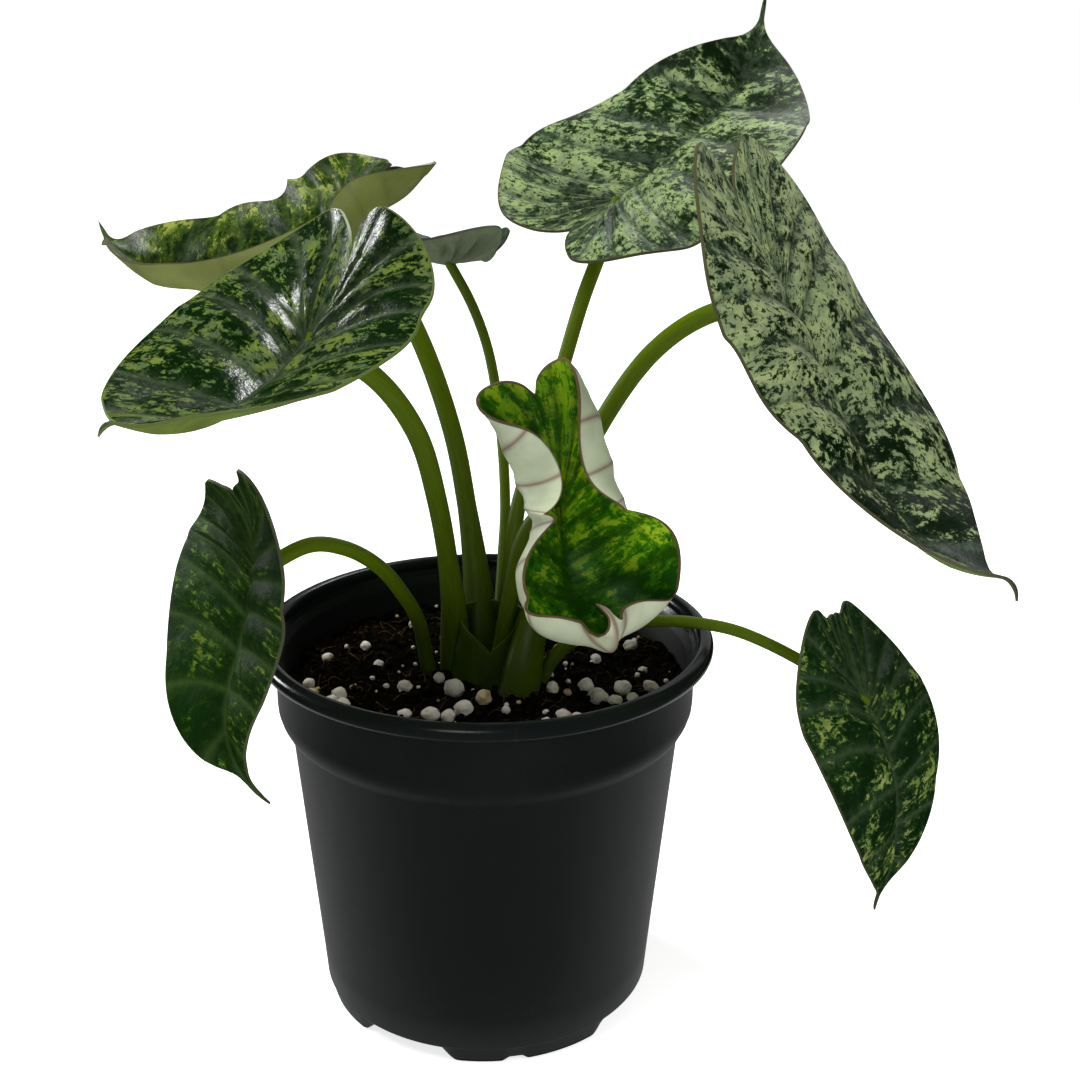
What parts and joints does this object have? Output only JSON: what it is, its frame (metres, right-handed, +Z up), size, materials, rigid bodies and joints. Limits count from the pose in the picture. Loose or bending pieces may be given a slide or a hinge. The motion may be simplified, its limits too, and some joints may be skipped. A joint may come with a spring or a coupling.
{
  "type": "potted dragon scale alocasia",
  "caption": "Potted aroid with quilted, mottled arrow-shaped leaves on arching stalks, rooted in potting mix in a black nursery pot.",
  "frame": {"origin": "on the pot's axis, at the underside of the pot's floor, which is the surface that it stands on", "axes": "+Z up along the pot's axis, -Y towards the front of the plant, +X to its right"},
  "size_m": [0.2134, 0.1874, 0.2383],
  "materials": {
    "pot": "matte with a soft sheen",
    "soil": "moist peat mix with white perlite",
    "corm": "dull",
    "petiole": "smooth, satin",
    "blade": "waxy and quilted, dark green with pale mottling",
    "new_blade": "soft and glossy, lime green with dark green marbling, whitish green underneath"
  },
  "bodies": {
    "root": {"pot": "pot", "soil": "soil", "corm": "corm", "petiole_unfurling": "petiole", "blade_unfurling": "new_blade", "petiole_back_left": "petiole", "blade_back_left": "blade", "petiole_small_back": "petiole", "blade_small_back": "blade", "petiole_top_right": "petiole", "blade_top_right": "blade", "petiole_front_left": "petiole", "blade_front_left": "blade", "petiole_right": "petiole", "blade_right": "blade", "petiole_lower_left": "petiole", "blade_lower_left": "blade", "petiole_lower_right": "petiole", "blade_lower_right": "blade"}
  },
  "joints": []
}
